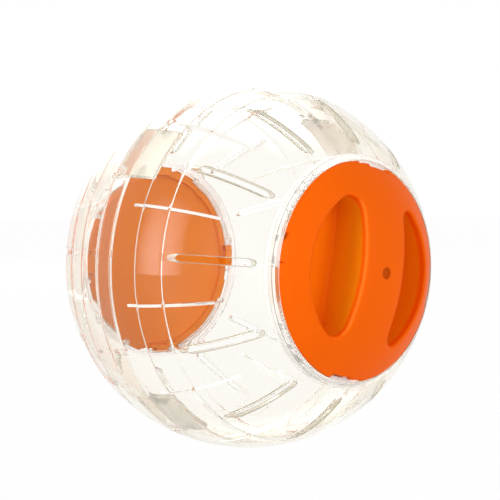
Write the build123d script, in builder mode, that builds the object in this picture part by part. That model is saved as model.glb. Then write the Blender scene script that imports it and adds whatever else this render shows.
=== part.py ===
"""Hamster ball: two clear half shells that plug together, and a twist cap in each pole.

The ball's centre is the origin, the line through both caps is the Y axis, and the front cap faces -Y.
Heights run from the centre towards a cap. Clock angles start at 12 o'clock (+Z) and grow towards +X.
"""

import os
from math import acos, asin, cos, degrees, radians, sin, sqrt, tan

from build123d import *

# Ball
ball_radius = 60.0
shell_wall = 1.6
belt_wall = 2.2  # thicker wall beside the seam
belt_edge_angle = 13.0  # latitude where the belt ends
bead_height = 0.4  # fine ring inside each half
bead_width = 1.0
bead_angle = 22.2

# Seam: the front half's outer lip laps over the rear half's inner lip
outer_lip = 2.2  # how far each lip passes the middle of the ball
inner_lip = 3.2
seam_gap = 0.2
lap_clearance = 0.15

# Tongues on the rear half, inside the front half's belt
quarter_count = 4
tongue_angle = -51.2  # clock angle of the first tongue
tongue_width = 18.0
tongue_wall = 1.4
tongue_gap = 0.3
tongue_tip_angle = 11.8
tongue_root = 3.4  # root length behind the middle of the ball
tongue_weld = 0.3  # depth of the root in the lip
key_width = 3.0  # block that sets the two halves to each other
key_length = 3.2
key_gap = 0.3
key_offset = 9.2  # from the tongue's middle to the key's middle

# Air slots and grip ribs
slot_count = 12
slot_angle = 5.5
slot_width = 2.1
slot_foot_angle = 27.2
slot_neck_margin = 3.6
rib_width = 0.9
rib_height = 1.0
rib_foot_angle = 9.0
rib_neck_margin = 8.0

# Neck and ledge of each opening
neck_wall = 1.6
neck_clearance = 0.3
collar_width = 1.7  # fine raised ring round the opening
collar_height = 0.3
neck_reach = 0.3  # how far the neck passes the lugs
ledge_drop = 1.7  # from the cap's edge to the ledge
ledge_wall = 1.0
ledge_clearance = 0.25
stop_angle = 3.0
gap_margin_angle = 1.5

# Caps
cap_radius = 33.4
cap_wall = 1.8
cap_rise = 0.8  # how far the crown stands proud of the ball
cap_edge_round = 0.5
rim_width = 3.0  # of the flat seat under the dome's edge
post_inset = 1.4  # from the cap's edge to the posts that carry the lugs
post_wall = 1.3
seat_gap = 0.15
lug_wall = 1.2
lug_clearance = 0.3
lug_weld = 0.6
lug_angle = 6.5
lug_span = 15.5
twist_span = 19.0
notch_angle = -1.0
notch_depth = 0.6
bar_angle = 11.0
bar_waist = 16.8  # width of the finger bar at its middle
bar_bow = 0.9  # how much wider each side is at the ends
pocket_depth = 15.4
pocket_wall = 1.6
pocket_margin = 3.6
pocket_corner = 4.0
pocket_lip_chamfer = 0.6
pocket_floor_chamfer = 1.2
gate_radius = 1.8
gate_depth = 0.6
rear_turn = -14.0  # how far the rear opening is turned against the front one

# Worked-out sizes
shell_inside = ball_radius - shell_wall
belt_inside = ball_radius - belt_wall
lap_radius = ball_radius - belt_wall / 2
neck_inside = cap_radius + neck_clearance
neck_outside = neck_inside + neck_wall
rim_height = sqrt(ball_radius**2 - cap_radius**2)
crown_height = ball_radius + cap_rise
ledge_top = rim_height - ledge_drop
ledge_bottom = ledge_top - ledge_wall
lug_top = ledge_bottom - lug_clearance
lug_bottom = lug_top - lug_wall
neck_end = lug_bottom - neck_reach
rim_inside = cap_radius - rim_width
post_outside = cap_radius - post_inset
post_inside = post_outside - post_wall
ledge_inside = post_outside + ledge_clearance
quarter = 360 / quarter_count
front, rear = -1, 1


def on_ball(radius, angle):
    """Point of a meridian at a latitude, as (distance from the axis, height)."""
    return radius * cos(radians(angle)), radius * sin(radians(angle))


def at_height(radius, height):
    """Point of a meridian at a height."""
    return sqrt(radius**2 - height**2), height


def at_distance(radius, distance):
    """Point of a meridian at a distance from the axis."""
    return distance, sqrt(radius**2 - distance**2)


def pole_plane(side, height=0.0, turn=0.0):
    """Plane across the axis, seen from outside: x points to 3 o'clock, turned clockwise by the turn."""
    three_oclock = (-side * cos(radians(turn)), 0, -sin(radians(turn)))
    return Plane(origin=(0, side * height, 0), x_dir=three_oclock, z_dir=(0, side, 0))


def meridian_plane(side, clock_angle=90.0):
    """Plane through the axis: x runs outwards at the clock angle, y towards the cap."""
    s, c = sin(radians(clock_angle)), cos(radians(clock_angle))
    return Plane(origin=(0, 0, 0), x_dir=(s, 0, c), z_dir=(-side * c, 0, side * s))


def ball_arc(radius, start, end):
    """Arc about the ball's centre between two points of a meridian."""
    start_angle, end_angle = (degrees(asin(point[1] / radius)) for point in (start, end))
    return ThreePointArc(start, on_ball(radius, (start_angle + end_angle) / 2), end)


def ring_parts(plane, inner, outer, start, span, height):
    """Blocks in a ring, one in each quarter, that start at a clock angle and run clockwise."""
    with BuildPart() as blocks:
        with BuildSketch(plane):
            with BuildLine():
                far = CenterArc((0, 0), outer, 90 - start - span, span)
                near = CenterArc((0, 0), inner, 90 - start - span, span)
                Line(far @ 0, near @ 0)
                Line(far @ 1, near @ 1)
            block = make_face(mode=Mode.PRIVATE)
            with PolarLocations(0, quarter_count):
                add(block)
        extrude(amount=height)
    return blocks.part


def half_shell(side, outer_start, inner_start, lap, turn):
    """One clear half: wall, belt, bead, ribs, slots, and the neck with its ledge and stops."""
    collar_edge = at_distance(ball_radius, neck_inside + collar_width)
    collar_top = at_distance(ball_radius + collar_height, neck_inside + collar_width)
    rim = at_distance(ball_radius + collar_height, neck_inside)
    neck_root = at_distance(shell_inside, neck_outside)
    outer_foot = at_height(ball_radius, outer_start)
    inner_foot = at_height(belt_inside, inner_start)
    belt_edge = on_ball(shell_inside, belt_edge_angle)
    belt_corner = on_ball(belt_inside, belt_edge_angle)
    slot_far = ball_radius * cos(radians(slot_foot_angle))
    slot_near = neck_outside + slot_neck_margin
    rib_end_angle = degrees(acos((neck_outside + rib_neck_margin) / shell_inside))
    with BuildPart() as shell:
        with BuildSketch(meridian_plane(side)):
            with BuildLine():
                ball_arc(ball_radius, outer_foot, collar_edge)
                Line(collar_edge, collar_top)
                ball_arc(ball_radius + collar_height, collar_top, rim)
                Polyline(rim, (neck_inside, neck_end), (neck_outside, neck_end), neck_root)
                ball_arc(shell_inside, neck_root, belt_edge)
                Line(belt_edge, belt_corner)
                ball_arc(belt_inside, belt_corner, inner_foot)
                Polyline(inner_foot, (lap, inner_start), (lap, outer_start), outer_foot)
            make_face()
        revolve(axis=Axis.Y)
        with BuildSketch(meridian_plane(side)):
            with BuildLine():
                bead_half_angle = degrees(bead_width / 2 / shell_inside)
                lower = on_ball(shell_inside + bead_height, bead_angle - bead_half_angle)
                upper = on_ball(shell_inside + bead_height, bead_angle + bead_half_angle)
                Polyline(lower, on_ball(shell_inside - bead_height, bead_angle), upper, close=True)
            make_face()
        revolve(axis=Axis.Y)
        for index in range(slot_count):
            clock_angle = slot_angle + (index + 0.5) * 360 / slot_count
            with BuildSketch(meridian_plane(side, clock_angle)):
                with BuildLine():
                    foot = on_ball(shell_inside - rib_height, rib_foot_angle)
                    crest = on_ball(shell_inside - rib_height, (rib_foot_angle + rib_end_angle) / 2)
                    root = on_ball(shell_inside + shell_wall / 2, rib_foot_angle)
                    tip = on_ball(shell_inside + shell_wall / 2, rib_end_angle)
                    ThreePointArc(foot, crest, tip)
                    ball_arc(shell_inside + shell_wall / 2, tip, root)
                    Line(root, foot)
                make_face()
            extrude(amount=rib_width / 2, both=True)
        with BuildSketch(pole_plane(side)):
            with PolarLocations((slot_near + slot_far) / 2, slot_count, 90 + side * slot_angle):
                SlotOverall(slot_far - slot_near, slot_width)
        extrude(amount=ball_radius, mode=Mode.SUBTRACT)
        gap_start = lug_angle - twist_span - gap_margin_angle
        gap_span = lug_span + 2 * gap_margin_angle
        gap_end = gap_start + gap_span
        lock_stop = lug_angle + lug_span + gap_margin_angle
        ledge_outside = neck_inside + neck_wall / 2
        ledge_plane = pole_plane(side, ledge_bottom, turn)
        stop_plane = pole_plane(side, lug_bottom, turn)
        stop_height = ledge_bottom - lug_bottom
        add(ring_parts(ledge_plane, ledge_inside, ledge_outside, gap_end, quarter - gap_span, ledge_wall))
        for start in (gap_start - stop_angle, lock_stop):
            add(ring_parts(stop_plane, ledge_inside, ledge_outside, start, stop_angle, stop_height))
    return shell.part


def quarter_posts(sideways, width):
    """Posts along the axis, one in each quarter, for cutting a ring of the belt into blocks."""
    with BuildPart() as posts:
        with BuildSketch(pole_plane(front)):
            with PolarLocations(ball_radius, quarter_count, 90 - tongue_angle):
                with Locations((0, sideways)):
                    Rectangle(ball_radius, width)
        extrude(amount=ball_radius, both=True)
    return posts.part


def tongues():
    """Four tongues that plug into the front half's belt."""
    outside = belt_inside - tongue_gap
    inside = outside - tongue_wall
    tip_outer = on_ball(outside, tongue_tip_angle)
    tip_inner = on_ball(inside, tongue_tip_angle)
    root_inner = at_height(inside, -tongue_root)
    neck_outer = at_height(outside, inner_lip)
    weld = belt_inside + tongue_weld
    with BuildPart() as ring:
        with BuildSketch(meridian_plane(front)):
            with BuildLine():
                ball_arc(inside, root_inner, tip_inner)
                Line(tip_inner, tip_outer)
                ball_arc(outside, tip_outer, neck_outer)
                Polyline(neck_outer, (weld, inner_lip), (weld, -tongue_root), root_inner)
            make_face()
        revolve(axis=Axis.Y)
        add(quarter_posts(0, tongue_width), mode=Mode.INTERSECT)
    return ring.part


def keys(gap, inner_radius):
    """Four small blocks in the seam's outer layer, larger by the gap for the notches they enter."""
    foot = at_height(ball_radius, -outer_lip - seam_gap)
    top = at_height(ball_radius, key_length - outer_lip + gap)
    with BuildPart() as ring:
        with BuildSketch(meridian_plane(front)):
            with BuildLine():
                ball_arc(ball_radius, foot, top)
                Polyline(top, (inner_radius, top[1]), (inner_radius, foot[1]), foot)
            make_face()
        revolve(axis=Axis.Y)
        add(quarter_posts(key_offset, key_width + 2 * gap), mode=Mode.INTERSECT)
    return ring.part


def finger_pockets(plane, grow, height):
    """Two D-shaped columns, one on each side of the finger bar."""
    outer = rim_inside - pocket_wall - pocket_margin + grow
    waist = bar_waist / 2 - grow
    shoulder = waist + bar_bow
    reach = sqrt(outer**2 - shoulder**2)
    with BuildPart() as columns:
        with BuildSketch(plane):
            with BuildLine():
                ThreePointArc((shoulder, -reach), (waist, 0), (shoulder, reach))
                ThreePointArc((shoulder, reach), (outer, 0), (shoulder, -reach))
            column = make_face(mode=Mode.PRIVATE)
            with PolarLocations(0, 2):
                add(column)
            fillet(vertices(), pocket_corner + grow)
        extrude(amount=height)
        floor_edges = edges().group_by(Axis(plane.origin, plane.z_dir))[0]
        chamfer(floor_edges, pocket_floor_chamfer + grow * tan(radians(45 / 2)))
    return columns.part


def twist_cap(side, turn, has_pockets):
    """One cap: dome, four lugs on posts, rim windows over the lugs, and the front cap's two finger pockets."""
    dome_radius = (cap_radius**2 + (crown_height - rim_height) ** 2) / (2 * (crown_height - rim_height))
    dome_centre = crown_height - dome_radius
    under_radius = dome_radius - cap_wall
    pocket_floor = crown_height - pocket_depth
    tub_floor = pocket_floor - pocket_wall
    seat = ledge_top + seat_gap
    rim = (cap_radius, rim_height)
    crown = (0, crown_height)
    shoulder_distance = cap_radius / 2
    shoulder = (shoulder_distance, dome_centre + sqrt(dome_radius**2 - shoulder_distance**2))
    under_edge = (rim_inside, dome_centre + sqrt(under_radius**2 - rim_inside**2))
    under_shoulder = (shoulder_distance, dome_centre + sqrt(under_radius**2 - shoulder_distance**2))
    under_crown = (0, crown_height - cap_wall)
    core = rim_inside - pocket_margin / 2
    tall = 2 * ball_radius
    bar_turn = turn + bar_angle

    with BuildPart() as hollow:
        with BuildSketch(meridian_plane(side)):
            with BuildLine():
                Polyline(under_crown, (0, 0), (rim_inside, 0), under_edge)
                ThreePointArc(under_edge, under_shoulder, under_crown)
            make_face()
        revolve(axis=Axis.Y)
        if has_pockets:
            tub_plane = pole_plane(side, tub_floor, bar_turn)
            add(finger_pockets(tub_plane, pocket_wall, tall), mode=Mode.SUBTRACT)

    with BuildPart() as cap:
        with BuildSketch(meridian_plane(side)):
            with BuildLine():
                Polyline(crown, (0, tub_floor), (core, tub_floor), (core, seat), (cap_radius, seat), rim)
                ThreePointArc(rim, shoulder, crown)
            make_face()
            fillet(vertices().group_by(Axis.X)[-1].sort_by(Axis.Y)[-1], cap_edge_round)
        revolve(axis=Axis.Y)
        add(hollow.part, mode=Mode.SUBTRACT)
        if has_pockets:
            add(finger_pockets(pole_plane(side, pocket_floor, bar_turn), 0, tall), mode=Mode.SUBTRACT)
            dome = faces().filter_by(GeomType.SPHERE).sort_by(SortBy.AREA)[-1]
            mouths = [edge for mouth in dome.inner_wires() for edge in mouth.edges()]
            chamfer(mouths, pocket_lip_chamfer)
        lug_plane = pole_plane(side, lug_bottom, turn)
        post_height = seat - lug_bottom + lug_weld
        add(ring_parts(lug_plane, post_inside, post_outside, lug_angle, lug_span, post_height))
        add(ring_parts(lug_plane, post_outside - lug_weld, cap_radius, lug_angle, lug_span, lug_wall))
        window_plane = pole_plane(side, ledge_top, turn)
        rim_edge = cap_radius + neck_clearance
        window = ring_parts(window_plane, post_outside, rim_edge, lug_angle, lug_span, tall)
        add(window, mode=Mode.SUBTRACT)
        notch_span = lug_angle - notch_angle
        notch = ring_parts(window_plane, cap_radius - notch_depth, rim_edge, notch_angle, notch_span, tall)
        add(notch, mode=Mode.SUBTRACT)
        with Locations(pole_plane(side, crown_height)):
            Hole(gate_radius, gate_depth)
    return cap.part


os.makedirs("parts", exist_ok=True)

with BuildPart() as front_half_shell:
    add(half_shell(front, -outer_lip, inner_lip + seam_gap, lap_radius + lap_clearance / 2, 0))
    add(keys(key_gap, lap_radius), mode=Mode.SUBTRACT)

with BuildPart() as rear_half_shell:
    add(half_shell(rear, outer_lip + seam_gap, -inner_lip, lap_radius - lap_clearance / 2, rear_turn))
    add(tongues())
    add(keys(0, lap_radius - lap_clearance))

with BuildPart() as front_cap:
    add(twist_cap(front, 0, True))

with BuildPart() as rear_cap:
    add(twist_cap(rear, rear_turn, False))

for name, piece in (
    ("front_half_shell", front_half_shell),
    ("rear_half_shell", rear_half_shell),
    ("front_cap", front_cap),
    ("rear_cap", rear_cap),
):
    piece.part.label = name
    export_step(piece.part, f"parts/{name}.step")
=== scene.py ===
"""Hamster ball: two clear half shells and two orange twist caps, on a pale floor in soft light.

Shapes are made in millimetres and brought to metres at the end of each piece. The ball's centre is the
origin and the cap axis is Y. Heights run from the centre towards a piece's own cap, and clock angles
start at +Z and grow towards +X.
"""

from collections import namedtuple
from math import asin, atan2, cos, degrees, hypot, pi, radians, sin, sqrt

import bmesh
import bpy
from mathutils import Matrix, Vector


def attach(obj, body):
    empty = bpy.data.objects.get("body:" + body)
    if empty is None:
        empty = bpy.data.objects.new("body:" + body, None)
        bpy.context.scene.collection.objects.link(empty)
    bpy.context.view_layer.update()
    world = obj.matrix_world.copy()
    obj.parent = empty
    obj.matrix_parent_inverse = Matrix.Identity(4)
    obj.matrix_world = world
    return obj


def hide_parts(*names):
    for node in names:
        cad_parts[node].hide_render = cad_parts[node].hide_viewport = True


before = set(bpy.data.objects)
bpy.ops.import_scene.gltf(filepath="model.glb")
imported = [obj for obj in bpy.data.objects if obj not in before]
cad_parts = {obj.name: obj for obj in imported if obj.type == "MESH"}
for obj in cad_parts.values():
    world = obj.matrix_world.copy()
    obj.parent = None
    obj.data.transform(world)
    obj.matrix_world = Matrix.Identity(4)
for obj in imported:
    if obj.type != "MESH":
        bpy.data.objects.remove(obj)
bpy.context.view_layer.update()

mm = 0.001
front, rear = -1, 1

# Ball
ball_radius = 60.0
shell_inside = 58.4
belt_inside = 57.8
belt_edge_angle = 13.0
bead_inside = 58.0
bead_angle = 22.2
bead_half_angle = 0.49
edge_round = 0.2

# Seam
outer_lip = 2.2
inner_lip = 3.2
seam_gap = 0.2
lap_radius = 58.9
lap_clearance = 0.15

# Quarters of the turn, each with a tongue, a key, a ledge and a lug
quarter_count = 4
quarter = 360 / quarter_count

# Tongues and keys, on the rear half
tongue_angle = -51.2
tongue_width = 18.0
tongue_outside = 57.5
tongue_inside = 56.1
tongue_tip_angle = 11.8
tongue_root = 3.4
key_width = 3.0
key_length = 3.2
key_gap = 0.3
key_offset = 9.2
key_lift = 0.08

# Air slots and ribs
slot_count = 12
slot_angle = 5.5
slot_radius = 1.05
slot_foot = 52.35  # distance of the round end's centre from the axis
slot_neck = 39.95
rib_half_width = 0.45
rib_foot_angle = 9.0
rib_crest = 57.4
rib_middle_angle = 25.6
rib_tip = 59.2
rib_tip_angle = 42.15

# Neck and ledge of each opening
neck_inside = 33.7
neck_outside = 35.3
collar_radius = 60.3
collar_edge = 35.4
collar_middle = 34.5  # between the collar's outer edge and the neck
neck_end = 45.34
ledge_inside = 32.25
ledge_top = 48.14
ledge_bottom = 47.14
gap_start, gap_end = -14.0, 4.5
stop_angle = 3.0
lock_stop = 23.5

# Caps
cap_radius = 33.4
cap_edge_round = 0.5
dome_radius = 56.37
dome_centre = 4.43
cap_wall = 1.8
sheet_radius = 31.0  # where the dome's sheet meets the rim's ring
rim_inside = 30.4
post_outside = 32.0
post_inside = 30.7
seat = 48.29
lug_top = 46.84
lug_bottom = 45.64
lug_start, lug_end = 6.5, 22.0
notch_start = -1.0
notch_inside = 32.8
bar_angle = 11.0
pocket_outer = 25.2
pocket_waist = 8.4
pocket_shoulder = 9.3
pocket_corner = 4.0
pocket_wall = 1.6
pocket_floor = 45.4
pocket_lip_round = 1.1
pocket_under_round = 0.8
pocket_floor_round = 1.2
gate_radius = 1.8
gate_depth = 0.6
gate_taper = 0.9  # the mark's floor as a share of its mouth
gate_middle = 0.8  # an inner row of that floor, in the plain crown
rear_turn = -14.0

# Columns and steps of the meshes
slot_columns = 4  # from a slot's middle to its side
plain_columns = 7  # from a slot's side to the next rib
sector_columns = 2 * (slot_columns + plain_columns + 1)
shell_columns = slot_count * sector_columns
arc_steps, corner_steps, bar_steps, gate_steps = 48, 16, 24, 12
rim_columns = 2 * (arc_steps + corner_steps)
round_turns = 22.5, 45, 67.5, 90
even_shares = 0.25, 0.5, 0.75, 1
floor_shares = 0.66, 0.33

# Rows of the meshes: latitudes, distances from the axis and heights
outer_latitudes = 4.5, 7.5, 10.5, 13.5, 16.5, 19.5, 22.3
under_slots = 54.6
over_slots_outside = 37.8, 36.6
over_slots_inside = 36.5, 37.8
inner_latitudes = 19.5, 17.2, 15
belt_latitudes = 11, rib_foot_angle, 7, 5
tongue_heights = tongue_root, 1.7, 0, -1.6, -inner_lip
tongue_latitudes = 4.3, 6.2, 8.1, 10, tongue_tip_angle
slot_row_count = 9
crown_row_count = 13

# Rows of a cap's rim between which the windows and notches are cut
window_top, notch_top, notch_base, window_base = 1, 2, 9, 10

# How near to a feature a point or the middle of a face counts as part of it
face_margin = 0.1
wall_margin = 0.05
step_reach = 0.15
rim_reach = 0.5  # past a slot's wall
rim_end_reach = 1.6  # past the centres of a slot's round ends
rib_reach = 0.3
rib_start = 8.5  # height from the ball's centre

# Merging, rounding and shading of the meshes
merge_gap = 0.004
sheet_merge_gap = 0.02
sharp_angle = 38
round_room = 2.2  # least width of a face beside a round, in rounds
smooth_angle = 50

# Looks of a shell's faces, by their place among its materials
edge_look, rim_look, wall_look, panel_look, rib_look, collar_look, neck_look = range(1, 8)

# Colours of the clear plastic, its frost and its shadows, with olive, grey and smoke tints that are painted
# shade for the dark lines at the slot rims and the collar step
plastic_ior = 1.25
thin_tint, edge_on_tint = (0.99, 0.982, 0.96, 1), (0.72, 0.64, 0.47, 1)
clear_shadow, frost_shadow = (0.98, 0.975, 0.965, 1), (0.9, 0.89, 0.87, 1)
white, pale, cream = (0.97, 0.97, 0.96, 1), (0.85, 0.83, 0.75, 1), (0.66, 0.62, 0.5, 1)
# Olive, grey and smoke: painted shade for the dark lines along the slot rims and at the collar step
grey_painted_shade, olive_painted_shade, smoke_painted_shade = (0.5, 0.48, 0.42, 1), (0.24, 0.21, 0.13, 1), (0.26, 0.25, 0.21, 1)

# Colours and gloss of the orange plastic, with painted shade, painted light and a painted highlight for the
# pockets, painted light and shade for the rear cap's inside, and painted shade for the gate dimple
orange, deep_orange = (0.93, 0.13, 0.0012, 1), (0.88, 0.12, 0.001, 1)
# Painted light and shade: the rear cap's inner face, the same plastic as its outside, is coloured a duller,
# yellower orange that stands in for how it looks lit through the clear shell
painted_inside_orange, deep_painted_inside_orange = (0.79, 0.22, 0.005, 1), (0.75, 0.2, 0.0045, 1)
# Painted shade on the pocket walls, painted light on their floors and a painted highlight on the lips along
# the bar
pocket_wall_painted_shade = (0.87, 0.255, 0.003, 1)
pocket_floor_painted_light = (1, 0.2, 0.002, 1)
pocket_lip_painted_highlight = (0.95, 0.2, 0.015, 1)
# Painted shade: share of the deep orange left in the gate dimple's colour
gate_painted_shade = 0.6
front_gloss, rear_gloss = 0.04, 0.42

# Where each painted tone of the orange starts and is full, in millimetres: painted shade, light and
# highlight in the pockets, painted shade in the gate dimple and painted light and shade on the rear cap's
# inside
pocket_fade = 27, 26  # from the axis
wall_rise = 0.1, 1.2  # above a pocket's floor
wall_depth = 1.9, 2.8  # under the dome
floor_rise = 0.9, 0.3  # above a pocket's floor
lip_start = 0.15, 0.45  # under the dome
lip_end = 1.3, 0.9
lip_fade = 10.5, 9.8  # from the bar's middle
gate_fade = 1.9, 1.6  # from the axis
gate_fade_depth = 1.3, 1.1  # under the dome
inside_depth = cap_wall / 2, cap_wall * 0.8

# Studio, in metres, degrees and watts
floor_half_size = 4
floor_white = 0.97  # share of plain white in the floor that the camera sees
soft_light = 0.6
lamp_mean = 36  # brings the mean of a lamp's fade back to 1
lamps = (  # name, azimuth, elevation, distance, width, height, power
    ("key", 14, 12, 1.2, 0.7, 0.7, 3.6),
    ("fill", -52, 14, 1.2, 1.0, 1.0, 1.6),
    ("left", -97, 8, 1.0, 0.55, 1.2, 6),
    ("back", 150, 25, 1.2, 0.9, 0.9, 3),
)
camera_azimuth, camera_elevation, camera_distance = -42.4, 3.1, 0.4086
camera_lens = 88.6
camera_shift = 0.0036, 0.0301
light_bounces, clear_bounces = 32, 24

Row = namedtuple("Row", "distance height radius group", defaults=(None, ""))


def at_latitude(radius, angle, group=""):
    """Row of a sphere at a latitude."""
    return Row(radius * cos(radians(angle)), radius * sin(radians(angle)), radius, group)


def at_height(radius, height, group=""):
    """Row of a sphere at a height."""
    return Row(sqrt(radius**2 - height**2), height, radius, group)


def at_distance(radius, distance, group=""):
    """Row of a sphere at a distance from the axis."""
    return Row(distance, sqrt(radius**2 - distance**2), radius, group)


def group_rows(rows, group):
    """Places of a group's rows in a list of rows."""
    return [index for index, row in enumerate(rows) if row.group == group]


def spread(start, end, count):
    """Evenly spaced values from start to end, both ends left out."""
    return [start + (end - start) * (index + 1) / (count + 1) for index in range(count)]


def place(side, distance, angle, height):
    """Point at a distance from the cap axis, at a clock angle and a height towards the cap."""
    return Vector((distance * sin(radians(angle)), side * height, distance * cos(radians(angle))))


def polar(side, spot):
    """Distance from the axis, clock angle and height of a point."""
    return hypot(spot.x, spot.z), degrees(atan2(spot.x, spot.z)), side * spot.y


def own_angle(side, angle, turn):
    """Clock angle of a feature that is counted clockwise from outside, on a turned opening."""
    return -side * (angle + turn)


class Ring:
    """A profile spun about the cap axis, whose points are found by row and column."""

    def __init__(self, side, rows, columns, first_angle, closed):
        self.side = side
        self.rows = rows
        self.columns = columns
        self.bm = bmesh.new()
        self.layer = self.bm.verts.layers.int.new("row")
        line = []
        for index, row in enumerate(rows):
            point = self.bm.verts.new(place(side, row.distance, first_angle, row.height))
            point[self.layer] = index
            line.append(point)
        pairs = list(zip(line, line[1:] + line[:1])) if closed else list(zip(line, line[1:]))
        edges = [self.bm.edges.new(pair) for pair in pairs]
        bmesh.ops.spin(
            self.bm, geom=line + edges, axis=(0, 1, 0), cent=(0, 0, 0), angle=2 * pi,
            steps=columns, use_merge=True,
        )
        step = 360 / columns
        self.grid = {}
        for point in self.bm.verts:
            angle = degrees(atan2(point.co.x, point.co.z)) - first_angle
            self.grid[point[self.layer], round(angle / step) % columns] = point

    def at(self, row, column):
        return self.grid[row % len(self.rows), column % self.columns]

    def cell(self, row, column):
        """Face between a row and the next, and a column and the next."""
        corners = (row, column), (row, column + 1), (row + 1, column + 1), (row + 1, column)
        return self.bm.faces.get([self.at(*corner) for corner in corners])

    def cells(self, first_row, last_row, first_column, last_column):
        return [
            self.cell(row, column)
            for row in range(first_row, last_row)
            for column in range(first_column, last_column)
        ]

    def path(self, stops):
        """Edges along a list of (row, column) points."""
        pairs = zip(stops, stops[1:])
        return [self.bm.edges.get((self.at(*start), self.at(*end))) for start, end in pairs]

    def cut(self, faces):
        bmesh.ops.delete(self.bm, geom=faces, context="FACES")

    def raised(self, faces):
        """New points of a patch of faces that is drawn out of the surface."""
        made = bmesh.ops.extrude_face_region(self.bm, geom=faces)
        return [item for item in made["geom"] if isinstance(item, bmesh.types.BMVert)]

    def spot(self, point):
        return polar(self.side, point.co)

    def set_point(self, point, distance, angle, height):
        point.co = place(self.side, distance, angle, height)


def enclosed(points):
    """Faces whose corners are all in a set of points."""
    return {face for point in points for face in point.link_faces if points.issuperset(face.verts)}


def quarters(angles):
    """The same angles in each quarter of the turn."""
    return [angle + quarter * index for index in range(quarter_count) for angle in angles]


def snapped(angles, targets):
    """Column nearest to each target angle, as {column: target}."""
    found = {}
    for target in targets:
        offsets = [abs((angle - target + 180) % 360 - 180) for angle in angles]
        found[offsets.index(min(offsets))] = target
    return found


def columns_between(angles, start, end):
    """First and last column of the stretch from one clock angle to a later one."""
    low = next(iter(snapped(angles, [start])))
    high = next(iter(snapped(angles, [end])))
    return low, high if high > low else high + len(angles)


def turned_columns(angles, side, turn, start, end):
    """Columns of a stretch counted clockwise from outside, on a turned opening."""
    return columns_between(angles, *sorted(own_angle(side, angle, turn) for angle in (start, end)))


def side_angles(middle, half_width, distance):
    """Clock angles of the two sides of a tongue, key or notch, from its tongue's middle."""
    return [degrees(asin((middle + sign * half_width) / distance)) for sign in (-1, 1)]


def border_columns(angles, middle, half_width, distance, index):
    """First and last column of a tongue, key or notch in one quarter."""
    base = tongue_angle + quarter * index
    return columns_between(angles, *(base + offset for offset in side_angles(middle, half_width, distance)))


def sector_angle(column, distance):
    """Clock angle of a shell column: parallel to its slot and rib where it borders them."""
    sector = round(column / sector_columns)
    step = column - sector * sector_columns
    sign = 1 if step >= 0 else -1
    step = abs(step)
    half = 180 / slot_count
    slot_side = degrees(asin(slot_radius / distance))
    rib_side = half - degrees(asin(rib_half_width / distance))
    if step <= slot_columns:
        across = slot_radius * sin(pi / 2 * step / slot_columns)
        offset = degrees(asin(across / distance))
    elif step == slot_columns + plain_columns + 1:
        offset = half
    else:
        offset = slot_side + (rib_side - slot_side) * (step - slot_columns) / plain_columns
    return slot_angle + sector * 2 * half + sign * offset


def slot_bend(row, column):
    """Distance from the axis on the rows that run round a slot's two ends."""
    step = abs(column - round(column / sector_columns) * sector_columns)
    if step > slot_columns:
        return row.distance
    bulge = slot_radius * cos(pi / 2 * step / slot_columns)
    return row.distance + (bulge if row.group == "slot foot" else -bulge)


def rib_radius(angle):
    """Radius of a rib's crest at a latitude: level near the belt, then fading into the wall."""
    a, b, c = rib_foot_angle, rib_middle_angle, rib_tip_angle
    level = rib_crest * ((angle - b) * (angle - c) / ((a - b) * (a - c)))
    level += rib_crest * ((angle - a) * (angle - c) / ((b - a) * (b - c)))
    return level + rib_tip * ((angle - a) * (angle - b) / ((c - a) * (c - b)))


def shell_rows(outer_start, inner_start, lap, belt_rows, notch):
    """Rows of a half shell: outside, neck, inside, belt and seam."""
    foot_rows = [at_height(ball_radius, outer_start, "key")]
    lap_rows = [Row(lap, inner_start)]
    if notch is not None:
        foot_rows.append(at_height(ball_radius, notch, "key"))
        lap_rows.append(Row(lap, notch, None, "key"))
    lap_rows.append(Row(lap, outer_start, None, "key"))
    along_slots = spread(slot_foot, slot_neck, slot_row_count)
    outside = [at_latitude(ball_radius, angle) for angle in outer_latitudes]
    outside += [at_distance(ball_radius, under_slots), at_distance(ball_radius, slot_foot, "slot foot")]
    outside += [at_distance(ball_radius, distance) for distance in along_slots]
    outside += [at_distance(ball_radius, slot_neck, "slot neck")]
    outside += [at_distance(ball_radius, distance) for distance in (*over_slots_outside, collar_edge)]
    on_collar = collar_edge, collar_middle, neck_inside
    outside += [at_distance(collar_radius, distance) for distance in on_collar]
    neck = [Row(neck_inside, height, None, "ledge") for height in (ledge_top, ledge_bottom, lug_bottom)]
    neck += [Row(neck_inside, neck_end), Row(neck_outside, neck_end)]
    inside = [at_distance(shell_inside, distance) for distance in (neck_outside, *over_slots_inside)]
    inside += [at_distance(shell_inside, slot_neck, "slot neck")]
    inside += [at_distance(shell_inside, distance) for distance in reversed(along_slots)]
    inside += [at_distance(shell_inside, slot_foot, "slot foot")]
    inside += [at_latitude(shell_inside, bead_angle + bead_half_angle)]
    inside += [at_latitude(bead_inside, bead_angle)]
    inside += [at_latitude(shell_inside, bead_angle - bead_half_angle)]
    inside += [at_latitude(shell_inside, angle) for angle in (*inner_latitudes, belt_edge_angle)]
    belt = [at_latitude(belt_inside, angle) for angle in (belt_edge_angle, *belt_latitudes)]
    return foot_rows + outside + neck + inside + belt + belt_rows + lap_rows


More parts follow.
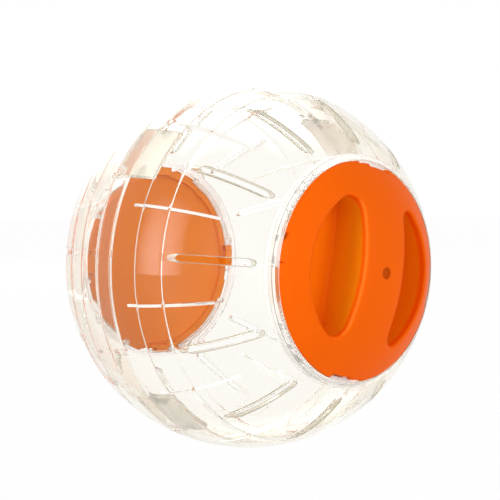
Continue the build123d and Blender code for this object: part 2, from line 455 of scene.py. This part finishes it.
def space_columns(ring, plain, turn, key_half_width):
    """Moves the columns beside the slots and ribs, and to the sides of the ledge, keys and tongues."""
    ledge_edges = gap_start - stop_angle, gap_start, gap_end, lock_stop, lock_stop + stop_angle
    ledge_targets = quarters([own_angle(ring.side, angle, turn) for angle in ledge_edges])
    borders = {"tongue": (0, tongue_width / 2), "key": (-key_offset, key_half_width)}
    for (index, column), point in ring.grid.items():
        row = ring.rows[index]
        distance, height = row.distance, row.height
        if row.group in ("slot foot", "slot neck"):
            distance = slot_bend(row, column)
            height = sqrt(row.radius**2 - distance**2)
        angle = sector_angle(column, distance)
        if row.group == "ledge":
            angle = snapped(plain, ledge_targets).get(column, angle)
        elif row.group in borders:
            offsets = side_angles(*borders[row.group], distance)
            targets = quarters([tongue_angle + offset for offset in offsets])
            angle = snapped(plain, targets).get(column, angle)
        ring.set_point(point, distance, angle, height)


def air_slot(ring, middle):
    """Slot through both skins of the wall, with its own wall between them."""
    outer_foot, inner_foot = group_rows(ring.rows, "slot foot")
    outer_neck, inner_neck = group_rows(ring.rows, "slot neck")
    low, high = middle - slot_columns, middle + slot_columns
    loops = []
    for first, last in ((outer_foot, outer_neck), (inner_neck, inner_foot)):
        stops = [(first, column) for column in range(low, high)]
        stops += [(row, high) for row in range(first, last)]
        stops += [(last, column) for column in range(high, low, -1)]
        stops += [(row, low) for row in range(last, first - 1, -1)]
        loops += ring.path(stops)
        ring.cut(ring.cells(first, last, low, high))
    made = bmesh.ops.bridge_loops(ring.bm, edges=loops)
    for face in made["faces"]:
        face.material_index = wall_look


def grip_rib(ring, middle):
    """Rib inside the wall, from the belt to where its crest meets the wall."""
    inner_neck, inner_foot = group_rows(ring.rows, "slot neck")[1], group_rows(ring.rows, "slot foot")[1]
    below_wall = next(
        index for index in range(inner_neck, inner_foot)
        if rib_radius(degrees(asin(ring.rows[index].height / shell_inside))) < shell_inside
    )
    foot = ring.rows.index(at_latitude(belt_inside, rib_foot_angle))
    for point in ring.raised(ring.cells(below_wall - 1, foot, middle - 1, middle + 1)):
        distance, angle, height = ring.spot(point)
        crest = min(shell_inside, rib_radius(degrees(atan2(height, distance))))
        scale = min(crest / hypot(distance, height), 1)
        ring.set_point(point, distance * scale, angle, height * scale)


def bayonet_ledge(ring, plain, turn):
    """Ledge in the neck, open at the four gaps, with a stop at each end of a lug's travel."""
    ledge_row = group_rows(ring.rows, "ledge")[0]
    stretches = (
        (ledge_row, gap_end, gap_start + quarter),
        (ledge_row + 1, gap_start - stop_angle + quarter, gap_start + quarter),
        (ledge_row + 1, lock_stop, lock_stop + stop_angle),
    )
    faces = []
    for index in range(quarter_count):
        base = quarter * index
        for row, start, end in stretches:
            columns = turned_columns(plain, ring.side, turn, start + base, end + base)
            faces += ring.cells(row, row + 1, *columns)
    for point in ring.raised(faces):
        distance, angle, height = ring.spot(point)
        ring.set_point(point, ledge_inside, angle, height)


def half_shell(side, rows, turn, key_half_width):
    """Clear half: spun wall, re-spaced columns, then slots, ribs, ledge and stops."""
    ring = Ring(side, rows, shell_columns, slot_angle, True)
    plain = [sector_angle(column, slot_foot) for column in range(shell_columns)]
    space_columns(ring, plain, turn, key_half_width)
    for sector in range(slot_count):
        middle = sector * sector_columns
        air_slot(ring, middle)
        grip_rib(ring, middle + sector_columns // 2)
    bayonet_ledge(ring, plain, turn)
    return ring, plain


def front_half():
    """Front half, with four notches in its outer lip for the keys."""
    notch = key_length - outer_lip + key_gap
    half_width = key_width / 2 + key_gap
    lap = lap_radius + lap_clearance / 2
    inner_start = inner_lip + seam_gap
    rows = shell_rows(-outer_lip, inner_start, lap, [at_height(belt_inside, inner_start)], notch)
    ring, plain = half_shell(front, rows, 0, half_width)
    last = len(rows) - 1
    for index in range(quarter_count):
        low, high = border_columns(plain, -key_offset, half_width, ball_radius, index)
        across = range(low, high)
        outer = [(0, low)] + [(1, column) for column in across] + [(1, high), (0, high)]
        inner = [(last, low)] + [(last - 1, column) for column in across] + [(last - 1, high), (last, high)]
        walls = ring.path(outer) + ring.path(inner)
        ring.cut(ring.cells(0, 1, low, high) + ring.cells(last - 1, last + 1, low, high))
        bmesh.ops.bridge_loops(ring.bm, edges=walls)
    return ring.bm


def locating_key(ring, plain, lap, index):
    """Key drawn out of the seam's step, to fill a notch of the front half."""
    last = len(ring.rows) - 1
    reach = outer_lip - key_length
    near, far = lap + key_lift, sqrt(ball_radius**2 - reach**2)
    columns = border_columns(plain, -key_offset, key_width / 2, ball_radius, index)
    for point in ring.raised(ring.cells(last, last + 1, *columns)):
        distance, angle, height = ring.spot(point)
        ring.set_point(point, far if distance > (near + ball_radius) / 2 else near, angle, reach)


def plug_tongue(ring, plain, index):
    """Tongue raised from the belt and drawn on past the seam, inside the other half's belt."""
    tongue_rows = group_rows(ring.rows, "tongue")
    root_row, tip_row = tongue_rows[0], tongue_rows[-1]
    columns = border_columns(plain, 0, tongue_width / 2, belt_inside, index)
    block = ring.raised(ring.cells(root_row, tip_row, *columns))
    for point in block:
        distance, angle, height = ring.spot(point)
        ring.set_point(point, sqrt(tongue_inside**2 - height**2), angle, height)
    ends = {
        face for point in block for face in point.link_faces
        if all(corner[ring.layer] == tip_row for corner in face.verts)
    }
    for latitude in tongue_latitudes:
        moved = set(ring.raised(list(ends)))
        for point in moved:
            distance, angle, height = ring.spot(point)
            is_outer = hypot(distance, height) > (tongue_inside + tongue_outside) / 2
            row = at_latitude(tongue_outside if is_outer else tongue_inside, -latitude)
            ring.set_point(point, row.distance, angle, row.height)
        ends = enclosed(moved)


def rear_half():
    """Rear half, with four tongues inside the front half's belt and four keys."""
    lap = lap_radius - lap_clearance / 2
    belt_rows = [at_height(belt_inside, height, "tongue") for height in tongue_heights]
    rows = shell_rows(outer_lip + seam_gap, -inner_lip, lap, belt_rows, None)
    ring, plain = half_shell(rear, rows, rear_turn, key_width / 2)
    for index in range(quarter_count):
        locating_key(ring, plain, lap, index)
        plug_tongue(ring, plain, index)
    for face in ring.bm.faces:
        spots = [ring.spot(point) for point in face.verts]
        inward = min(hypot(distance, height) for distance, angle, height in spots)
        highest = max(height for distance, angle, height in spots)
        if inward < tongue_outside + face_margin and highest < tongue_root + face_margin:
            face.material_index = panel_look
    return ring.bm


def dome_height(distance, radius):
    return dome_centre + sqrt(radius**2 - distance**2)


def pocket_loop(grow):
    """Outline of a finger pocket's D as (across the bar, along the bar), offset outwards."""
    reach = sqrt(pocket_outer**2 - pocket_shoulder**2)
    bow = pocket_shoulder - pocket_waist
    side_radius = (reach**2 + bow**2) / (2 * bow)
    centre = pocket_waist + side_radius
    far, near = pocket_outer - pocket_corner, side_radius - pocket_corner
    across = (centre**2 - near**2 + far**2) / (2 * centre)
    along = sqrt(far**2 - across**2)
    arc_end = atan2(along, across)
    side_end = atan2(along, across - centre)
    stretches = (
        (-arc_end, arc_end, arc_steps, lambda a: (far * cos(a), far * sin(a))),
        (arc_end, side_end, corner_steps, lambda a: (across, along)),
        (side_end, 2 * pi - side_end, bar_steps, lambda a: (centre + near * cos(a), near * sin(a))),
        (2 * pi - side_end, 2 * pi - arc_end, corner_steps, lambda a: (across, -along)),
    )
    reach_out = pocket_corner + grow
    loop = []
    for start, end, steps, point in stretches:
        for index in range(steps):
            normal = start + (end - start) * index / steps
            x, y = point(normal)
            loop.append((x + reach_out * cos(normal), y + reach_out * sin(normal)))
    return loop


def half_disc(radius):
    """Half of a disc round the gate mark, with as many points as a pocket's outline, in its order."""
    half = corner_steps // 2
    arc = arc_steps + corner_steps
    line = bar_steps + corner_steps
    points = []
    for index in range(arc):
        angle = -pi / 2 + pi * index / arc
        points.append((radius * cos(angle), radius * sin(angle)))
    straight = (line - gate_steps) // 2
    points += [(0, radius + (gate_radius - radius) * index / straight) for index in range(straight)]
    for index in range(gate_steps):
        angle = pi * index / gate_steps
        points.append((gate_radius * sin(angle), gate_radius * cos(angle)))
    points += [(0, -gate_radius + (gate_radius - radius) * index / straight) for index in range(straight)]
    return points[half:] + points[:half]


def sheet_loops(edge_radius, radius, grow, lip, floor, floor_round):
    """Loops of (across, along, height) from a half disc's edge down to a pocket's floor."""
    outer, mouth = half_disc(edge_radius), pocket_loop(grow + lip)
    loops = []
    for share in (0, *even_shares):
        plan = [tuple(a + (b - a) * share for a, b in zip(*pair)) for pair in zip(outer, mouth)]
        loops.append([(x, y, dome_height(hypot(x, y), radius)) for x, y in plan])
    for turn in round_turns:
        drop = lip * (1 - cos(radians(turn)))
        plan = pocket_loop(grow + lip * (1 - sin(radians(turn))))
        loops.append([(x, y, dome_height(hypot(x, y), radius) - drop) for x, y in plan])
    lip_loop = loops[-1]
    wall_end = floor + floor_round
    for share in even_shares:
        loops.append([(x, y, z + (wall_end - z) * share) for x, y, z in lip_loop])
    for turn in round_turns:
        plan = pocket_loop(grow - floor_round * (1 - cos(radians(turn))))
        height = floor + floor_round * (1 - sin(radians(turn)))
        loops.append([(x, y, height) for x, y in plan])
    floor_loop = loops[-1]
    middle = (pocket_outer + pocket_waist) / 2
    for share in floor_shares:
        loops.append([(middle + (x - middle) * share, y * share, floor) for x, y, z in floor_loop])
    return loops


def pocket_sheet(bm, side, turn, loops):
    """Both halves of a sheet, each a run of bridged loops closed by a floor."""
    for half_turn in (0, 180):
        previous = None
        for loop in loops:
            points = []
            for across, along, height in loop:
                angle = own_angle(side, turn + half_turn + degrees(atan2(across, along)), 0)
                points.append(bm.verts.new(place(side, hypot(across, along), angle, height)))
            ring = [bm.edges.new(pair) for pair in zip(points, points[1:] + points[:1])]
            if previous:
                bmesh.ops.bridge_loops(bm, edges=previous + ring)
            previous = ring
        bmesh.ops.edgeloop_fill(bm, edges=previous)


def rim_rows():
    """Rows of the cap's rim: edge of the dome, flat seat and its inside."""
    on_dome = sheet_radius, post_outside, notch_inside
    rows = [Row(distance, dome_height(distance, dome_radius)) for distance in on_dome]
    top = dome_height(cap_radius - cap_edge_round, dome_radius)
    for turn in (0, *round_turns):
        out = cap_radius - cap_edge_round * (1 - sin(radians(turn)))
        rows.append(Row(out, top - cap_edge_round * (1 - cos(radians(turn)))))
    on_seat = cap_radius, notch_inside, post_outside, post_inside, rim_inside
    rows += [Row(distance, seat) for distance in on_seat]
    rows.append(Row(rim_inside, dome_height(rim_inside, dome_radius - cap_wall)))
    return rows


def crown_rows(edge, radius):
    """Rows of a plain dome from near its middle out to an edge."""
    distances = spread(gate_radius, edge, crown_row_count)
    return [Row(distance, dome_height(distance, radius)) for distance in distances]


def gate_rows():
    """Rows of the gate mark in a plain crown."""
    mouth = dome_height(gate_radius, dome_radius)
    floor = mouth - gate_depth
    inner, outer = gate_radius * gate_middle, gate_radius * gate_taper
    return [Row(inner, floor), Row(outer, floor), Row(gate_radius, mouth)]


def lug_post(ring, faces):
    """Post drawn down from the seat, with a lug at its foot that reaches outwards."""
    for level in (lug_top, lug_bottom):
        moved = set(ring.raised(faces))
        for point in moved:
            distance, angle, height = ring.spot(point)
            ring.set_point(point, distance, angle, level)
        faces = list(enclosed(moved))
    outer = [
        face for face in {face for point in moved for face in point.link_faces}
        if all(ring.spot(corner)[0] > post_outside - face_margin for corner in face.verts)
    ]
    for point in ring.raised(outer):
        distance, angle, height = ring.spot(point)
        ring.set_point(point, cap_radius, angle, height)


def twist_cap(side, turn, has_pockets):
    """Orange cap: rim with windows, notches and lugs, and a crown, plain or with the finger pockets."""
    bar_turn = turn + bar_angle
    rows = rim_rows()
    shift = 0  # of the rim's rows among all rows
    if not has_pockets:
        crown = gate_rows() + crown_rows(sheet_radius, dome_radius)
        rows = crown + rows + crown_rows(rim_inside, dome_radius - cap_wall)[::-1]
        shift = len(crown)
    first = own_angle(side, bar_turn, 0)
    ring = Ring(side, rows, rim_columns, first, False)
    plain = [first + 360 / rim_columns * column for column in range(rim_columns)]
    edges = quarters([own_angle(side, angle, turn) for angle in (notch_start, lug_start, lug_end)])
    targets = snapped(plain, edges)
    for (index, column), point in ring.grid.items():
        if window_top <= index - shift <= window_base + 1:
            row = rows[index]
            ring.set_point(point, row.distance, targets.get(column, plain[column]), row.height)
    for index in range(quarter_count):
        base = quarter * index
        for top, bottom, start, end in (
            (window_top, window_base, lug_start, lug_end),
            (notch_top, notch_base, notch_start, lug_start),
        ):
            low, high = turned_columns(plain, side, turn, start + base, end + base)
            walls = ring.path([(shift + top, column) for column in range(low, high + 1)])
            walls += ring.path([(shift + bottom, column) for column in range(low, high + 1)])
            ring.cut(ring.cells(shift + top, shift + bottom, low, high))
            bmesh.ops.bridge_loops(ring.bm, edges=walls)
        seat_row = shift + window_base
        columns = turned_columns(plain, side, turn, lug_start + base, lug_end + base)
        lug_post(ring, ring.cells(seat_row, seat_row + 1, *columns))
    bm = ring.bm
    outline = set()
    if has_pockets:
        outline = {ring.at(row, column) for row in (0, len(rows) - 1) for column in range(rim_columns)}
    open_edges = [edge for edge in bm.edges if edge.is_boundary and not outline.issuperset(edge.verts)]
    bmesh.ops.holes_fill(bm, edges=open_edges, sides=0)
    if has_pockets:
        finger_pockets(bm, side, bar_turn)
    return bm


def finger_pockets(bm, side, turn):
    """Dome with two finger pockets and a gate mark, above and below, joined to the rim."""
    top = sheet_loops(sheet_radius, dome_radius, 0, pocket_lip_round, pocket_floor, pocket_floor_round)
    under = sheet_loops(
        rim_inside, dome_radius - cap_wall, pocket_wall, pocket_under_round, pocket_floor - pocket_wall,
        pocket_floor_round + pocket_wall,
    )
    pocket_sheet(bm, side, turn, top)
    pocket_sheet(bm, side, turn, under)
    bmesh.ops.remove_doubles(bm, verts=bm.verts, dist=sheet_merge_gap)
    bmesh.ops.recalc_face_normals(bm, faces=bm.faces)
    above, below = [], []
    for edge in bm.edges:
        spots = [polar(side, point.co) for point in edge.verts]
        at_gate = all(distance < gate_radius + face_margin for distance, angle, height in spots)
        if edge.is_boundary and at_gate:
            is_above = spots[0][2] > dome_centre + dome_radius - cap_wall / 2
            (above if is_above else below).append(edge)
    bmesh.ops.holes_fill(bm, edges=below, sides=0)
    made = bmesh.ops.extrude_edge_only(bm, edges=above)
    for point in made["geom"]:
        if isinstance(point, bmesh.types.BMVert):
            distance, angle, height = polar(side, point.co)
            point.co = place(side, distance * gate_taper, angle, height - gate_depth)
    floor = [edge for edge in made["geom"] if isinstance(edge, bmesh.types.BMEdge) and edge.is_boundary]
    bmesh.ops.holes_fill(bm, edges=floor, sides=0)


def face_room(edge, face):
    """How far a face reaches from one of its edges."""
    start, end = (point.co for point in edge.verts)
    along = (end - start).normalized()
    offsets = [point.co - start for point in face.verts]
    return max((offset - along * offset.dot(along)).length for offset in offsets)


def rounded(bm):
    """Small round on every sharp outer edge that has room for it; gives the new faces."""
    bmesh.ops.remove_doubles(bm, verts=bm.verts, dist=merge_gap)
    bmesh.ops.dissolve_degenerate(bm, dist=merge_gap, edges=bm.edges)
    bmesh.ops.recalc_face_normals(bm, faces=bm.faces)
    sharp = [
        edge for edge in bm.edges
        if edge.is_manifold and edge.is_convex and edge.calc_face_angle() > radians(sharp_angle)
        and min(face_room(edge, face) for face in edge.link_faces) > round_room * edge_round
    ]
    made = bmesh.ops.bevel(
        bm, geom=sharp, offset=edge_round, offset_type="OFFSET", segments=2, profile=0.5,
        affect="EDGES", material=-1, clamp_overlap=False,
    )
    return made["faces"]


def across_from(distance, angle, first):
    """How far a point lies sideways from the nearest slot or rib, given the first one's clock angle."""
    step = 360 / slot_count
    offset = (angle - first + step / 2) % step - step / 2
    return abs(distance * sin(radians(offset)))


def edge_looks(side, faces):
    """Sets the looks of rounded edges: slot rims, ribs and all others."""
    for face in faces:
        distance, angle, height = polar(side, face.calc_center_median())
        from_slot = across_from(distance, angle, slot_angle)
        from_rib = across_from(distance, angle, slot_angle + 180 / slot_count)
        beside_slot = slot_neck - rim_end_reach < distance < slot_foot + rim_end_reach
        inside_wall = hypot(distance, height) < shell_inside + face_margin
        if from_slot < slot_radius + rim_reach and beside_slot:
            look = rim_look
        elif inside_wall and from_rib < rib_half_width + rib_reach and height > rib_start:
            look = rib_look
        else:
            look = edge_look
        face.material_index = look


def on_neck(distance, height):
    """Whether a point lies on the neck's walls or on the ledge."""
    between_walls = ledge_inside - wall_margin < distance < neck_outside + wall_margin
    return between_walls and height < ledge_top + wall_margin


def on_collar_step(distance, height):
    """Whether a point lies on the small step round the collar."""
    foot = at_distance(ball_radius, collar_edge).height
    return abs(distance - collar_edge) < wall_margin and height > foot - wall_margin


def wall_looks(side, bm):
    """Sets the looks of the neck's walls and ledge, and of the belt's and the collar's steps."""
    belt_step = at_latitude((shell_inside + belt_inside) / 2, belt_edge_angle)
    for face in bm.faces:
        spots = [polar(side, point.co) for point in face.verts]
        distance, angle, height = polar(side, face.calc_center_median())
        if hypot(distance - belt_step.distance, height - belt_step.height) < step_reach:
            face.material_index = edge_look
        if all(on_neck(distance, height) for distance, angle, height in spots):
            face.material_index = neck_look
        if all(on_collar_step(distance, height) for distance, angle, height in spots):
            face.material_index = collar_look


def finished(bm, name, materials, body, node):
    """Object of a finished mesh, riding on its body in place of its node."""
    bmesh.ops.recalc_face_normals(bm, faces=bm.faces)
    bmesh.ops.scale(bm, vec=(mm, mm, mm), verts=bm.verts)
    mesh = bpy.data.meshes.new(name)
    bm.to_mesh(mesh)
    bm.free()
    mesh.shade_smooth()
    mesh.set_sharp_from_angle(angle=radians(smooth_angle))
    for material in materials:
        mesh.materials.append(material)
    piece = bpy.data.objects.new(name, mesh)
    bpy.context.collection.objects.link(piece)
    weighted = piece.modifiers.new("even shading", "WEIGHTED_NORMAL")
    weighted.keep_sharp = True
    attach(piece, body)
    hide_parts(node)


class Wire:
    """An output socket whose arithmetic adds Math nodes."""

    def __init__(self, board, socket):
        self.board = board
        self.socket = socket

    def math(self, operation, *values):
        return self.board.node("ShaderNodeMath", {"operation": operation}, dict(enumerate(values)))

    def __add__(self, other):
        return self.math("ADD", self, other)

    def __mul__(self, other):
        return self.math("MULTIPLY", self, other)

    def __sub__(self, other):
        return self.math("SUBTRACT", self, other)

    def __rsub__(self, other):
        return self.math("SUBTRACT", other, self)

    def __abs__(self):
        return self.math("ABSOLUTE", self)

    def largest(self, other):
        return self.math("MAXIMUM", self, other)

    __radd__ = __add__
    __rmul__ = __mul__


class Board:
    """A node tree that is filled from code."""

    def __init__(self, tree):
        self.tree = tree
        tree.nodes.clear()

    def node(self, kind, settings=None, inputs=None, output=0):
        """One node with its settings, then the values or wires of its sockets; gives an output."""
        made = self.tree.nodes.new(kind)
        for name, value in (settings or {}).items():
            setattr(made, name, value)
        for name, value in (inputs or {}).items():
            if isinstance(value, Wire):
                self.tree.links.new(value.socket, made.inputs[name])
            else:
                made.inputs[name].default_value = value
        return Wire(self, made.outputs[output]) if len(made.outputs) else made

    def vector(self, operation, first, second=None, output=0):
        """Vector Math node on one or two vectors."""
        inputs = {0: first} if second is None else {0: first, 1: second}
        return self.node("ShaderNodeVectorMath", {"operation": operation}, inputs, output)

    def noise(self, place_on, scale, detail):
        return self.node("ShaderNodeTexNoise", {}, {"Vector": place_on, "Scale": scale, "Detail": detail})

    def ramp(self, value, start, end):
        """0 up to a start and 1 from an end on, in either direction, both in millimetres."""
        start, end = start * mm, end * mm
        slope = 1 / (end - start)
        return self.node("ShaderNodeMath", {"operation": "MULTIPLY_ADD", "use_clamp": True}, {
            0: value, 1: slope, 2: -start * slope,
        })

    def tinted(self, colour, share, tint):
        """Colour with a share of a tint."""
        inputs = {"Factor": share, 6: colour, 7: tint}
        return self.node("ShaderNodeMix", {"data_type": "RGBA"}, inputs, output=2)

    def mixed(self, share, first, second):
        """Mix of two shaders."""
        return self.node("ShaderNodeMixShader", {}, {0: share, 1: first, 2: second})

    def rays(self, *names):
        """1 for the named kinds of ray."""
        found = [self.node("ShaderNodeLightPath", output=name) for name in names]
        total = found[0]
        for ray in found[1:]:
            total = total.largest(ray)
        return total

    def see_through_shadow(self, plastic, tint):
        """Material's output: the plastic, with a light shadow in place of a glass's black one."""
        pass_through = self.node("ShaderNodeBsdfTransparent", {}, {"Color": tint})
        surface = self.mixed(self.rays("Is Shadow Ray"), plastic, pass_through)
        self.node("ShaderNodeOutputMaterial", {}, {"Surface": surface})


def new_material(name):
    material = bpy.data.materials.new(name)
    material.use_nodes = True
    return material, Board(material.node_tree)


def clear_plastic():
    """Clear moulded plastic, faintly wavy, with a trace of cream that deepens where it is seen edge on."""
    material, board = new_material("clear_plastic")
    place_on = board.node("ShaderNodeTexCoord", output="Object")
    waves = board.noise(place_on, 60.0, 2.0)
    scuffs = board.noise(place_on, 900.0, 4.0)
    bump = board.node("ShaderNodeBump", {}, {"Strength": 0.012, "Distance": 0.002, "Height": waves})
    thin, edge_on = (
        board.node("ShaderNodeBsdfPrincipled", {}, {
            "Base Color": tint, "Roughness": scuffs * 0.03, "IOR": plastic_ior,
            "Transmission Weight": 1.0, "Normal": bump,
        })
        for tint in (thin_tint, edge_on_tint)
    )
    slant = board.node("ShaderNodeLayerWeight", {}, {"Blend": 0.2}, output="Fresnel")
    board.see_through_shadow(board.mixed(slant, thin, edge_on), clear_shadow)
    return material


def frosted(name, light, dark, frost, rough=0.1):
    """Clear plastic with a share of frost from the mould, between two tints; where the tints are dark, they
    are painted shade.
    """
    material, board = new_material(name)
    place_on = board.node("ShaderNodeTexCoord", output="Object")
    flow = board.noise(place_on, 160.0, 3.0)
    plastic = board.node("ShaderNodeBsdfPrincipled", {}, {
        "Base Color": board.tinted(light, flow, dark), "Roughness": rough + flow * 0.2,
        "IOR": plastic_ior, "Transmission Weight": 1 - frost,
    })
    board.see_through_shadow(plastic, frost_shadow)
    return material


def painted_pocket_light(board, colour, side, place_on, from_axis, depth):
    """Colour with painted light and shade in the finger pockets: painted shade on the walls, painted light
    on the floors and a painted highlight on the lips along the bar.
    """
    across = (cos(radians(bar_angle)), 0, -sin(radians(bar_angle)))
    from_bar = abs(board.vector("DOT_PRODUCT", place_on, across, output=1))
    height = board.node("ShaderNodeSeparateXYZ", {}, {0: place_on}, output="Y") * side
    above_floor = height - pocket_floor * mm
    in_pocket = board.ramp(from_axis, *pocket_fade)
    wall = board.ramp(above_floor, *wall_rise) * board.ramp(depth, *wall_depth)
    floor = board.ramp(above_floor, *floor_rise)
    lip = board.ramp(depth, *lip_start) * board.ramp(depth, *lip_end)
    # Painted shade on the walls, painted light on the floors and a painted highlight on the lips
    colour = board.tinted(colour, wall * in_pocket, pocket_wall_painted_shade)
    colour = board.tinted(colour, floor * in_pocket, pocket_floor_painted_light)
    return board.tinted(colour, lip * board.ramp(from_bar, *lip_fade), pocket_lip_painted_highlight)


def orange_plastic(name, side, gloss, has_pockets):
    """Orange moulded plastic, satin, with painted shade darkening its gate dimple, and painted light and
    shade in its pockets or on its inside face.
    """
    material, board = new_material(name)
    place_on = board.node("ShaderNodeTexCoord", output="Object")
    flow = board.noise(place_on, 45.0, 3.0)
    grain = board.noise(place_on, 2600.0, 3.0)
    from_dome = board.vector("DISTANCE", place_on, (0, side * dome_centre * mm, 0), output=1)
    from_axis = board.vector("LENGTH", board.vector("MULTIPLY", place_on, (1, 0, 1)), output=1)
    depth = dome_radius * mm - from_dome
    colour = board.tinted(orange, flow, deep_orange)
    if has_pockets:
        colour = painted_pocket_light(board, colour, side, place_on, from_axis, depth)
    else:
        # Painted light and shade on the inner face: a duller, yellower orange for how it looks lit through
        # the shell
        inside = board.ramp(depth, *inside_depth)
        colour = board.tinted(colour, inside, board.tinted(painted_inside_orange, flow, deep_painted_inside_orange))
    # Painted shade darkening the gate dimple
    gate = board.ramp(from_axis, *gate_fade) * board.ramp(depth, *gate_fade_depth)
    mark = tuple(gate_painted_shade * share for share in deep_orange[:3]) + (1,)
    bump = board.node("ShaderNodeBump", {}, {"Strength": 0.06, "Distance": 0.0002, "Height": grain})
    plastic = board.node("ShaderNodeBsdfPrincipled", {}, {
        "Base Color": board.tinted(colour, gate, mark), "Roughness": 0.36 + flow * 0.12, "IOR": 1.46,
        "Specular IOR Level": gloss, "Normal": bump,
    })
    board.node("ShaderNodeOutputMaterial", {}, {"Surface": plastic})
    return material


def studio_floor():
    """Plain pale floor that stays white and keeps a soft shadow."""
    bm = bmesh.new()
    bmesh.ops.create_grid(bm, x_segments=1, y_segments=1, size=floor_half_size)
    bmesh.ops.translate(bm, vec=(0, 0, -ball_radius * mm), verts=bm.verts)
    mesh = bpy.data.meshes.new("floor")
    bm.to_mesh(mesh)
    bm.free()
    material, board = new_material("pale_floor")
    paint = board.node("ShaderNodeBsdfDiffuse", {}, {"Color": (0.9, 0.9, 0.9, 1)})
    glow = board.node("ShaderNodeEmission", {}, {"Color": (1, 1, 1, 1), "Strength": 1.0})
    share = board.rays("Is Camera Ray", "Is Glossy Ray", "Is Transmission Ray") * floor_white
    board.node("ShaderNodeOutputMaterial", {}, {"Surface": board.mixed(share, paint, glow)})
    mesh.materials.append(material)
    floor = bpy.data.objects.new("floor", mesh)
    bpy.context.collection.objects.link(floor)


def studio_world():
    """White behind the ball and in its reflections, and an even soft light for the rest."""
    world = bpy.data.worlds.new("studio")
    world.use_nodes = True
    bpy.context.scene.world = world
    board = Board(world.node_tree)
    soft, plain = (
        board.node("ShaderNodeBackground", {}, {"Color": (1, 1, 1, 1), "Strength": strength})
        for strength in (soft_light, 1.0)
    )
    behind = board.rays("Is Camera Ray", "Is Glossy Ray", "Is Transmission Ray")
    board.node("ShaderNodeOutputWorld", {}, {"Surface": board.mixed(behind, soft, plain)})


def aimed(name, data, azimuth, elevation, distance):
    """Lamp or camera at a distance from the ball's centre, looking at it."""
    azimuth, elevation = radians(azimuth), radians(elevation)
    back = Vector((sin(azimuth) * cos(elevation), -cos(azimuth) * cos(elevation), sin(elevation)))
    item = bpy.data.objects.new(name, data)
    item.location = back * distance
    item.rotation_euler = back.to_track_quat("Z", "Y").to_euler()
    bpy.context.collection.objects.link(item)
    return item


def soft_lamp(name, azimuth, elevation, distance, width, height, power):
    """Lamp aimed at the ball, brightest in its middle and fading towards its edges."""
    lamp = bpy.data.lights.new(name, "AREA")
    lamp.shape = "RECTANGLE"
    lamp.size, lamp.size_y = width, height
    lamp.energy = power
    lamp.use_nodes = True
    board = Board(lamp.node_tree)
    spot = board.node("ShaderNodeNewGeometry", output="Parametric")
    across, along = (board.node("ShaderNodeSeparateXYZ", {}, {0: spot}, output=axis) for axis in (0, 1))
    fade = (across * (1 - across)) * (along * (1 - along)) * lamp_mean
    glow = board.node("ShaderNodeEmission", {}, {"Color": (1, 1, 1, 1), "Strength": fade})
    board.node("ShaderNodeOutputLight", {}, {"Surface": glow})
    aimed(name, lamp, azimuth, elevation, distance)


def camera():
    """Camera at the photograph's place, with its framing."""
    data = bpy.data.cameras.new("camera")
    data.sensor_width = 36.0
    data.lens = camera_lens
    data.shift_x, data.shift_y = camera_shift
    data.clip_start = 0.01
    bpy.context.scene.camera = aimed("camera", data, camera_azimuth, camera_elevation, camera_distance)


# Looks of the two shells, in the order of a shell's looks
clear = clear_plastic()
panel = frosted("tongue_panel", white, pale, 0.35, 0.4)
front_looks = (
    # slot_rim: frost tinted cream to olive, painted shade for the dark lines along the slot rims
    clear, frosted("pale_edge", white, pale, 0.7), frosted("slot_rim", cream, olive_painted_shade, 0.7),
    frosted("slot_wall", pale, cream, 0.4), panel, frosted("rib_line", pale, cream, 0.5),
    # collar_line: frost tinted grey to smoke, painted shade for the dark line at the collar step
    frosted("collar_line", grey_painted_shade, smoke_painted_shade, 0.7), frosted("neck_frost", white, white, 0.75),
)
rear_looks = (
    clear, frosted("faint_edge", white, pale, 0.35), frosted("faint_rim", white, pale, 0.15),
    frosted("faint_wall", white, pale, 0.2), panel, frosted("faint_rib", pale, cream, 0.15),
    # faint_collar: frost tinted grey to smoke, painted shade for the line at the collar step
    frosted("faint_collar", grey_painted_shade, smoke_painted_shade, 0.15), frosted("faint_neck", white, white, 0.3),
)

# Looks of the two caps
front_orange = orange_plastic("front_orange", front, front_gloss, True)
rear_orange = orange_plastic("rear_orange", rear, rear_gloss, False)

# Pieces
for side, make, looks, name, body, node in (
    (front, front_half, front_looks, "clear_front_half", "front_half", "front_half_shell"),
    (rear, rear_half, rear_looks, "clear_rear_half", "rear_half", "rear_half_shell"),
):
    bm = make()
    wall_looks(side, bm)
    edge_looks(side, rounded(bm))
    finished(bm, name, looks, body, node)
for side, turn, has_pockets, plastic, name, body, node in (
    (front, 0, True, front_orange, "orange_front_cap", "front_lid", "front_cap"),
    (rear, rear_turn, False, rear_orange, "orange_rear_cap", "rear_lid", "rear_cap"),
):
    bm = twist_cap(side, turn, has_pockets)
    rounded(bm)
    finished(bm, name, [plastic], body, node)

# Studio
studio_floor()
studio_world()
for lamp in lamps:
    soft_lamp(*lamp)
camera()

scene = bpy.context.scene
scene.view_settings.view_transform = "Standard"
scene.cycles.max_bounces = light_bounces
scene.cycles.glossy_bounces = light_bounces
scene.cycles.transmission_bounces = light_bounces
scene.cycles.transparent_max_bounces = clear_bounces

bpy.context.view_layer.update()
